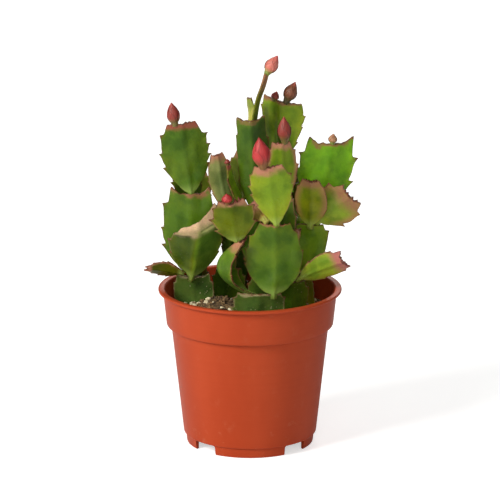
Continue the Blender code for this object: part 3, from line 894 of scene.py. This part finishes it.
def add_core(bm, layers, bud, reach):
    """The smooth body of the bud, whose stalk is carried on to meet the segment."""
    for vert in bmesh.ops.create_uvsphere(bm, u_segments=28, v_segments=24, radius=1)["verts"]:
        along = (vert.co.z + 1) / 2
        around = math.atan2(vert.co.y, vert.co.x)
        flat = Vector((vert.co.x, vert.co.y, 0))
        ring = Vector()
        if flat.length > 1e-4:
            ring = flat.normalized() * bud_radius(bud, along) * (1 + 0.04 * math.cos(5 * around))
        height = along * bud.length - reach * smoothstep(0.12, 0, along)
        vert.co = ring + Vector((0, 0, height))
        for layer, value in zip(layers, (along, math.sin(around * 2.5) * 0.7, 3)):
            vert[layer] = value


def build_bud(bud):
    """One finished bud. It gives the number of its faces."""
    rng = random.Random(bud.name)
    rotation = turned(bud)
    base = middle(solid_points(bud.name)) / MM - rotation @ Vector((0, 0, bud.length / 2))
    reach = min(gap_below(bud.name, base * MM) + NECK_OVERLAP, 2.5)
    bm = bmesh.new()
    layers = [bm.verts.layers.float.new(name) for name in ("along", "across", "edge")]
    add_core(bm, layers, bud, reach)
    turn = rng.uniform(0, 6)
    for half_angle, low, high, lift in WHORLS:
        turn += WHORL_TURN
        for number in range(TEPALS):
            angle = turn + number * math.tau / TEPALS + rng.uniform(-0.12, 0.12)
            add_tepal(bm, layers, bud, angle, half_angle, low, high + rng.uniform(-0.03, 0.02), lift)
    for vert in bm.verts:
        vert.co = (rotation @ vert.co + base) * MM
    bmesh.ops.recalc_face_normals(bm, faces=bm.faces)
    piece = add_piece("flower_" + bud.name, bm, [bud_looks[bud.look]], bud.name)
    return len(piece.data.polygons)


print("bud faces:", sum(build_bud(bud) for bud in BUDS))

# %% [markdown]
# ## The nursery pot
# The pot is a thin moulded shell: body, collar, narrow rolled lip and a ring of feet with notches
# that let water out. It is turned from a profile, as it would be on a lathe, with radii measured on
# the plain solid. The notches are cut with the Boolean modifier, whose result is then kept as mesh.

# %% Measure the pot
WALL = 1.3
POT_SPIN_STEPS = 144
pot_points = [point / MM for point in solid_points("nursery_pot")]


def pot_radius(low, high, pick=max):
    """The pot's largest or smallest radius between two heights, in millimetres."""
    return pick(Vector((p.x, p.y)).length for p in pot_points if low <= p.z <= high)


pot_top = max(point.z for point in pot_points)
lip = pot_radius(pot_top - 2, pot_top)
collar_top, collar_low = pot_radius(pot_top - 1.9, pot_top - 1.7, min) + WALL, pot_radius(70.1, 70.5)
body_top, body_low, foot = pot_radius(66.8, 67.2), pot_radius(5.8, 6.0), pot_radius(5.5, 5.7)
print("lip", round(lip, 1), "collar", round(collar_top, 1), round(collar_low, 1))
print("body", round(body_top, 1), round(body_low, 1), "foot", round(foot, 1))

# %% Profile of the pot
# Pairs of a radius and a height in millimetres: up the inside, over the lip and down the outside.
inside = [
    (0, 5.1), (body_low - 1.4, 5.1), (body_low - WALL, 6.2),
    (body_top - WALL, 68.4), (body_top - WALL + 0.4, 70.2),
    (collar_low - WALL - 0.4, 71.3), (collar_low - WALL, 72.0), (collar_top - WALL, pot_top - 2.4),
    (collar_top - WALL + 0.25, pot_top - 0.8), (collar_top - WALL + 0.8, pot_top - 0.18),
]
rolled_lip = [
    (collar_top + 0.3, pot_top), (lip - 0.9, pot_top), (lip - 0.4, pot_top - 0.12),
    (lip - 0.08, pot_top - 0.45), (lip, pot_top - 0.9), (lip - 0.08, pot_top - 1.35),
    (lip - 0.4, pot_top - 1.68), (lip - 0.9, pot_top - 1.8), (collar_top + 0.5, pot_top - 1.9),
]
outside = [
    (collar_top + 0.05, pot_top - 2.4), (collar_low + 0.02, 70.6), (collar_low - 0.14, 70.2),
    (body_top + 0.5, 69.6), (body_top + 0.1, 69.2), (body_top, 68.4),
    (body_low + 0.1, 7.0), (body_low, 6.3), (body_low - 0.3, 5.9),
]
feet = [
    (foot, 5.7), (foot - 0.05, 5.2), (foot - 0.5, 0.8), (foot - 0.65, 0.25), (foot - 1.0, 0),
    (foot - 2.0, 0), (foot - 2.4, 0.4), (foot - 2.4, 3.8), (0, 3.8),
]
profile = inside + rolled_lip + outside + feet
print("profile of", len(profile), "points")

# %% Turn the pot
bm = bmesh.new()
line = [bm.verts.new((radius * MM, 0, height * MM)) for radius, height in profile]
edges = [bm.edges.new(pair) for pair in zip(line, line[1:])]
bmesh.ops.subdivide_edges(bm, edges=[e for e in edges if e.calc_length() > 12 * MM], cuts=6)
bmesh.ops.spin(bm, geom=bm.verts[:] + bm.edges[:], cent=(0, 0, 0), axis=(0, 0, 1), angle=math.tau,
               steps=POT_SPIN_STEPS, use_merge=True)
bmesh.ops.remove_doubles(bm, verts=bm.verts, dist=1e-6)
bmesh.ops.recalc_face_normals(bm, faces=bm.faces)
print("pot:", len(bm.faces), "faces")

# %% [markdown]
# ## The pot's plastic
# Moulded polypropylene has a satin sheen, a faint mottle from the melt, fine rings left by the tool
# and dusty scuffs, most of them near the feet. The dust is lighter and duller than the plastic.

# %% Plastic finish
pot_material, tree, shader = new_material("pot_plastic_satin", Specular_IOR_Level=0.12)
place = node(tree, "TexCoord").outputs["Object"]
upwards = node(tree, "SeparateXYZ", {"Vector": place}).outputs["Z"]
melt = grain(tree, 28, 3, 0.5, stretch=(1, 1, 0.35))
micro = grain(tree, 1500, 2, 0.6)
rings = grain(tree, 700, 2, 0.5, stretch=(0.02, 0.02, 1))
near_the_floor = ramp(tree, upwards, 0.028, 0.004, 0.12, 0.7)
dust = times(tree, ramp(tree, grain(tree, 130, 5, 0.65), 0.56, 0.74), near_the_floor)
colour = mix(tree, ramp(tree, melt, 0.35, 0.68), (0.400, 0.050, 0.014), (0.455, 0.062, 0.019))
colour = mix(tree, ramp(tree, rings, 0.4, 0.62, 0.0, 0.07), colour, (0.34, 0.040, 0.012))
colour = mix(tree, dust, colour, (0.50, 0.15, 0.08))
put(shader.inputs["Base Color"], colour)
satin = ramp(tree, melt, 0.3, 0.7, 0.36, 0.46)
put(shader.inputs["Roughness"], plus(tree, satin, times(tree, dust, 0.3)))
height = plus(tree, times(tree, micro, 0.3), times(tree, rings, 0.35))
put(shader.inputs["Normal"], relief(tree, 0.14, 0.0003, height))
pot = add_piece("plastic_nursery_pot", bm, [pot_material], "nursery_pot")
print("plastic on", pot.name)

# %% [markdown]
# ## The notches
# Four notches part the foot ring and let water run out. Each is a rounded block that the Boolean
# modifier takes away from the pot. The modifier's result is then kept as plain mesh, the blocks are
# removed, and edges that turn sharply are marked so that the smooth walls don't smear over them.

# %% Cut the notches between the feet
NOTCH_ANGLES = (45, 135, 225, 315)
NOTCH_SIZE = (16 * MM, 15.5 * MM, 11 * MM)
NOTCH_PLACE = (36 * MM, 0, 0)
SHARPEST_SMOOTH_ANGLE = 28


def notch_block(angle):
    """A rounded block where one notch goes."""
    bm = bmesh.new()
    bmesh.ops.create_cube(bm, size=1)
    bmesh.ops.scale(bm, verts=bm.verts, vec=NOTCH_SIZE)
    inward = [e for e in bm.edges if abs(e.verts[0].co.x - e.verts[1].co.x) > 1 * MM]
    bmesh.ops.bevel(bm, geom=inward, offset=1.2 * MM, segments=5, affect="EDGES", profile=0.5, material=-1)
    place = Matrix.Rotation(math.radians(angle), 4, "Z") @ Matrix.Translation(NOTCH_PLACE)
    bmesh.ops.transform(bm, matrix=place, verts=bm.verts)
    mesh = bpy.data.meshes.new("notch")
    bm.to_mesh(mesh)
    bm.free()
    block = bpy.data.objects.new("notch", mesh)
    scene.collection.objects.link(block)
    return block


blocks = [notch_block(angle) for angle in NOTCH_ANGLES]
for block in blocks:
    boolean = pot.modifiers.new("Notch", "BOOLEAN")
    boolean.object = block
    boolean.operation = "DIFFERENCE"
evaluated = pot.evaluated_get(bpy.context.evaluated_depsgraph_get())
pot.data = bpy.data.meshes.new_from_object(evaluated)
pot.modifiers.clear()
for block in blocks:
    bpy.data.objects.remove(block)
pot.data.set_sharp_from_angle(angle=math.radians(SHARPEST_SMOOTH_ANGLE))
print("pot after its notches:", len(pot.data.polygons), "faces")

# %% [markdown]
# ## Potting soil
# The mix is dark peat with bark, white perlite and dry root fibres. The body of the soil is turned
# like the pot, and its top is raised and dipped with noise. Loose crumbs, perlite grains, bark chips
# and fibres are then laid on top, since that is what is seen between the stems.

# %% Finish of the soil
def earth_material(name, dark, light, scale, roughness=0.9, depth=0.0008):
    """A crumbly finish from dark to light, with a pale dust on it."""
    material, tree, shader = new_material(name, Roughness=roughness)
    clods, dustiness = grain(tree, scale, 6, 0.7), grain(tree, scale * 4, 3, 0.6)
    colour = mix(tree, ramp(tree, clods, 0.38, 0.66), dark, light)
    pale = tuple(min(1, value * 1.8) for value in light)
    colour = mix(tree, ramp(tree, dustiness, 0.6, 0.72, 0.0, 0.5), colour, pale)
    put(shader.inputs["Base Color"], colour)
    put(shader.inputs["Normal"], relief(tree, 0.8, depth, clods))
    return material


peat = earth_material("potting_peat", (0.034, 0.020, 0.010), (0.300, 0.180, 0.080), 420)
wood = earth_material("bark_brown", (0.050, 0.026, 0.014), (0.210, 0.120, 0.060), 300)
chalk = earth_material("perlite_cream", (0.60, 0.50, 0.31), (0.86, 0.78, 0.56), 350, 0.85, 0.0005)
straw = earth_material("root_tan", (0.22, 0.13, 0.06), (0.42, 0.29, 0.15), 500)
print("soil finishes:", [material.name for material in (peat, wood, chalk, straw)])

# %% Soil body
HEAP_HEIGHT = 6.0
HEAP_MIDDLE = (-19, 1)
STEP_HEIGHT = 69.8  # where the soil narrows from the collar of the pot into its body
soil_points = [point / MM for point in solid_points("soil")]
soil_radius = max(Vector((p.x, p.y)).length for p in soil_points)
soil_top = max(p.z for p in soil_points)
soil_bottom = min(p.z for p in soil_points)
bottom_radius = max(Vector((p.x, p.y)).length for p in soil_points if p.z < soil_bottom + 1)


def soil_height(x, y):
    """The height of the soil's uneven surface, in millimetres."""
    reach = math.hypot(x, y) / soil_radius
    rough = noise.noise(Vector((x / 6, y / 6, 0))) + noise.noise(Vector((x / 2.2, y / 2.2, 5))) * 0.6
    from_heap = (x - HEAP_MIDDLE[0]) ** 2 + (y - HEAP_MIDDLE[1]) ** 2
    heap = HEAP_HEIGHT * math.exp(-from_heap / 190)
    return soil_top - 1.0 - 1.2 * reach**3 + rough * (1 - 0.5 * reach) + heap


bm = bmesh.new()
bmesh.ops.create_circle(bm, cap_ends=True, cap_tris=True, segments=96, radius=soil_radius * MM * 0.995)
spokes = [edge for edge in bm.edges if not edge.is_boundary]
bmesh.ops.subdivide_edges(bm, edges=spokes, cuts=36, use_grid_fill=True)
bmesh.ops.remove_doubles(bm, verts=bm.verts, dist=0.05 * MM)
for vert in bm.verts:
    vert.co.z = soil_height(vert.co.x / MM, vert.co.y / MM) * MM
rim = [edge for edge in bm.edges if edge.is_boundary]
for radius, height in ((body_top - WALL - 0.4, STEP_HEIGHT), (bottom_radius, soil_bottom)):
    made = bmesh.ops.extrude_edge_only(bm, edges=rim)["geom"]
    ring = [item for item in made if isinstance(item, bmesh.types.BMVert)]
    edges = [item for item in made if isinstance(item, bmesh.types.BMEdge)]
    rim = [edge for edge in edges if all(vert in ring for vert in edge.verts)]
    for vert in ring:
        flat = Vector((vert.co.x, vert.co.y, 0)).normalized() * radius * MM
        vert.co = (flat.x, flat.y, height * MM)
bmesh.ops.edgeloop_fill(bm, edges=rim)
bmesh.ops.recalc_face_normals(bm, faces=bm.faces)
add_piece("potting_soil_body", bm, [peat], "soil")
print("soil radius", round(soil_radius, 1), "top", round(soil_top, 1))

# %% [markdown]
# ## What lies on the soil
# Crumbs of peat, flat chips of bark and rounder grains of perlite are the same thing in different
# proportions: a ball of few faces whose corners are moved at random. Every kind is one mesh of many
# lumps, which is far lighter than hundreds of objects. Dry root fibres are thin bent tubes.

# %% Crumbs, bark and perlite
rng = random.Random(5)


def scatter_spot(reach=1.0):
    """A random place on the soil, in millimetres."""
    radius, angle = (soil_radius - 1.6) * reach * math.sqrt(rng.random()), rng.uniform(0, math.tau)
    x, y = radius * math.cos(angle), radius * math.sin(angle)
    return Vector((x, y, soil_height(x, y)))


def scatter(name, count, sizes, flatness, material, smooth):
    """Rough lumps laid on the soil, more small ones than large ones. Sizes in millimetres."""
    bm = bmesh.new()
    for _ in range(count):
        size = sizes[0] + (sizes[1] - sizes[0]) * rng.random() ** 2
        lump = bmesh.ops.create_icosphere(bm, subdivisions=1, radius=size / 2 * MM)["verts"]
        for vert in lump:
            vert.co *= 1 + rng.uniform(-0.28, 0.22)
        stretch = 1 + rng.uniform(-0.2, 0.5), 1, flatness * rng.uniform(0.8, 1.3), 1
        turn = Euler([rng.uniform(-0.5, 0.5), rng.uniform(-0.5, 0.5), rng.uniform(0, 6)])
        spot = scatter_spot() * MM + Vector((0, 0, size * 0.18 * MM))
        matrix = Matrix.Translation(spot) @ turn.to_matrix().to_4x4() @ Matrix.Diagonal(stretch)
        bmesh.ops.transform(bm, matrix=matrix, verts=lump)
    add_piece(name, bm, [material], smooth=smooth)
    return count


lumps = scatter("peat_crumbs", 620, (0.9, 3.0), 0.75, peat, False)
lumps += scatter("bark_chips", 90, (2.0, 5.2), 0.32, wood, False)
lumps += scatter("perlite_grains", 310, (0.9, 3.8), 0.8, chalk, True)
print(lumps, "lumps on the soil")

# %% Root fibres
FIBRES = 110
FIBRE_RINGS = 9
RING_STEP = 1.15


def add_fibre(bm):
    """One fibre, laid ring by ring along a bent path that follows the soil."""
    start, heading, bend = scatter_spot(0.97), rng.uniform(0, math.tau), rng.uniform(-0.35, 0.35)
    rings = []
    spot = start + Vector((0, 0, 0.5))
    for step in range(FIBRE_RINGS):
        heading += bend
        ahead = Vector((math.cos(heading), math.sin(heading), 0)) * RING_STEP
        if math.hypot(spot.x, spot.y) > soil_radius - 2:
            break
        circle = bmesh.ops.create_circle(bm, segments=5, radius=0.16 * MM)["verts"]
        tilt = ahead.to_track_quat("Z", "Y").to_matrix().to_4x4()
        bmesh.ops.transform(bm, matrix=Matrix.Translation(spot * MM) @ tilt, verts=circle)
        rings.append(list({edge for vert in circle for edge in vert.link_edges}))
        spot = spot + ahead
        spot.z = soil_height(spot.x, spot.y) + 0.55 + 0.5 * math.sin(step * 0.9)
    for first, second in zip(rings, rings[1:]):
        bmesh.ops.bridge_loops(bm, edges=first + second)
    for ring in rings[:1] + rings[-1:]:
        bmesh.ops.edgeloop_fill(bm, edges=ring)


bm = bmesh.new()
for _ in range(FIBRES):
    add_fibre(bm)
bmesh.ops.recalc_face_normals(bm, faces=bm.faces)
add_piece("root_fibres", bm, [straw])
print(FIBRES, "fibres on the soil")

# %% [markdown]
# ## Floor, light and camera
# The pot stands on a plain pale floor in a bright studio. A large soft light comes from the upper
# left, a weaker one fills from the front, and the surroundings are nearly white, so shadows stay soft.

# %% Floor
FLOOR_HALF_SIDE = 6.0
FLOOR_GLOW = 0.57  # what the camera sees on top of the light that falls on the floor
bm = bmesh.new()
bmesh.ops.create_grid(bm, x_segments=2, y_segments=2, size=FLOOR_HALF_SIDE)
floor_mesh = bpy.data.meshes.new("studio_floor")
bm.to_mesh(floor_mesh)
bm.free()
floor = bpy.data.objects.new("studio_floor", floor_mesh)
scene.collection.objects.link(floor)
floor_material, tree, shader = new_material("floor_paper", Roughness=0.9)
put(shader.inputs["Base Color"], mix(tree, grain(tree, 40, 3), (0.84, 0.85, 0.90), (0.88, 0.89, 0.94)))
seen = times(tree, node(tree, "LightPath").outputs["Is Camera Ray"], FLOOR_GLOW)
put(shader.inputs["Emission Strength"], seen)
shader.inputs["Emission Color"].default_value = (1, 1, 1, 1)
floor_mesh.materials.append(floor_material)
print("floor of", 2 * FLOOR_HALF_SIDE, "m")

# %% Light and surroundings
LAMP_COLOUR = (1.0, 0.98, 0.90)
ROOM_COLOUR = (1.0, 0.985, 0.93, 1)
ROOM_STRENGTH = 0.23
AIM = Vector((0, 0, 0.1))
world = bpy.data.worlds.new("studio")
world.use_nodes = True
background = world.node_tree.nodes["Background"]
background.inputs["Color"].default_value = ROOM_COLOUR
background.inputs["Strength"].default_value = ROOM_STRENGTH
scene.world = world


def soft_light(name, place, size, watts):
    """A square light that faces the middle of the plant."""
    data = bpy.data.lights.new(name, "AREA")
    data.size, data.energy, data.color = size, watts, LAMP_COLOUR
    light = bpy.data.objects.new(name, data)
    light.location = place
    light.rotation_euler = (AIM - Vector(place)).to_track_quat("-Z", "Y").to_euler()
    scene.collection.objects.link(light)


soft_light("key_light", (-1.5, -1.15, 1.25), 0.75, 44)
soft_light("fill_light", (0.1, -2.1, 0.9), 1.3, 11)
soft_light("back_light", (0.3, 2.0, 1.3), 1.2, 14)
scene.view_settings.view_transform = "Standard"
lamps = [item.name for item in scene.objects if item.type == "LIGHT"]
print("lamps:", lamps)

# %% Camera
PITCH = math.radians(15.5)
DISTANCE = 2.0
camera = bpy.data.objects.new("camera", bpy.data.cameras.new("camera"))
camera.data.lens = 251.9
camera.data.sensor_width = 36
camera.data.shift_y = 0.044
camera.location = (0, -DISTANCE * math.cos(PITCH), 0.1 + DISTANCE * math.sin(PITCH))
camera.rotation_euler = (math.pi / 2 - PITCH, 0, 0)
camera.data.clip_end = 50
scene.collection.objects.link(camera)
scene.camera = camera
print("camera at", [round(value, 3) for value in camera.location])
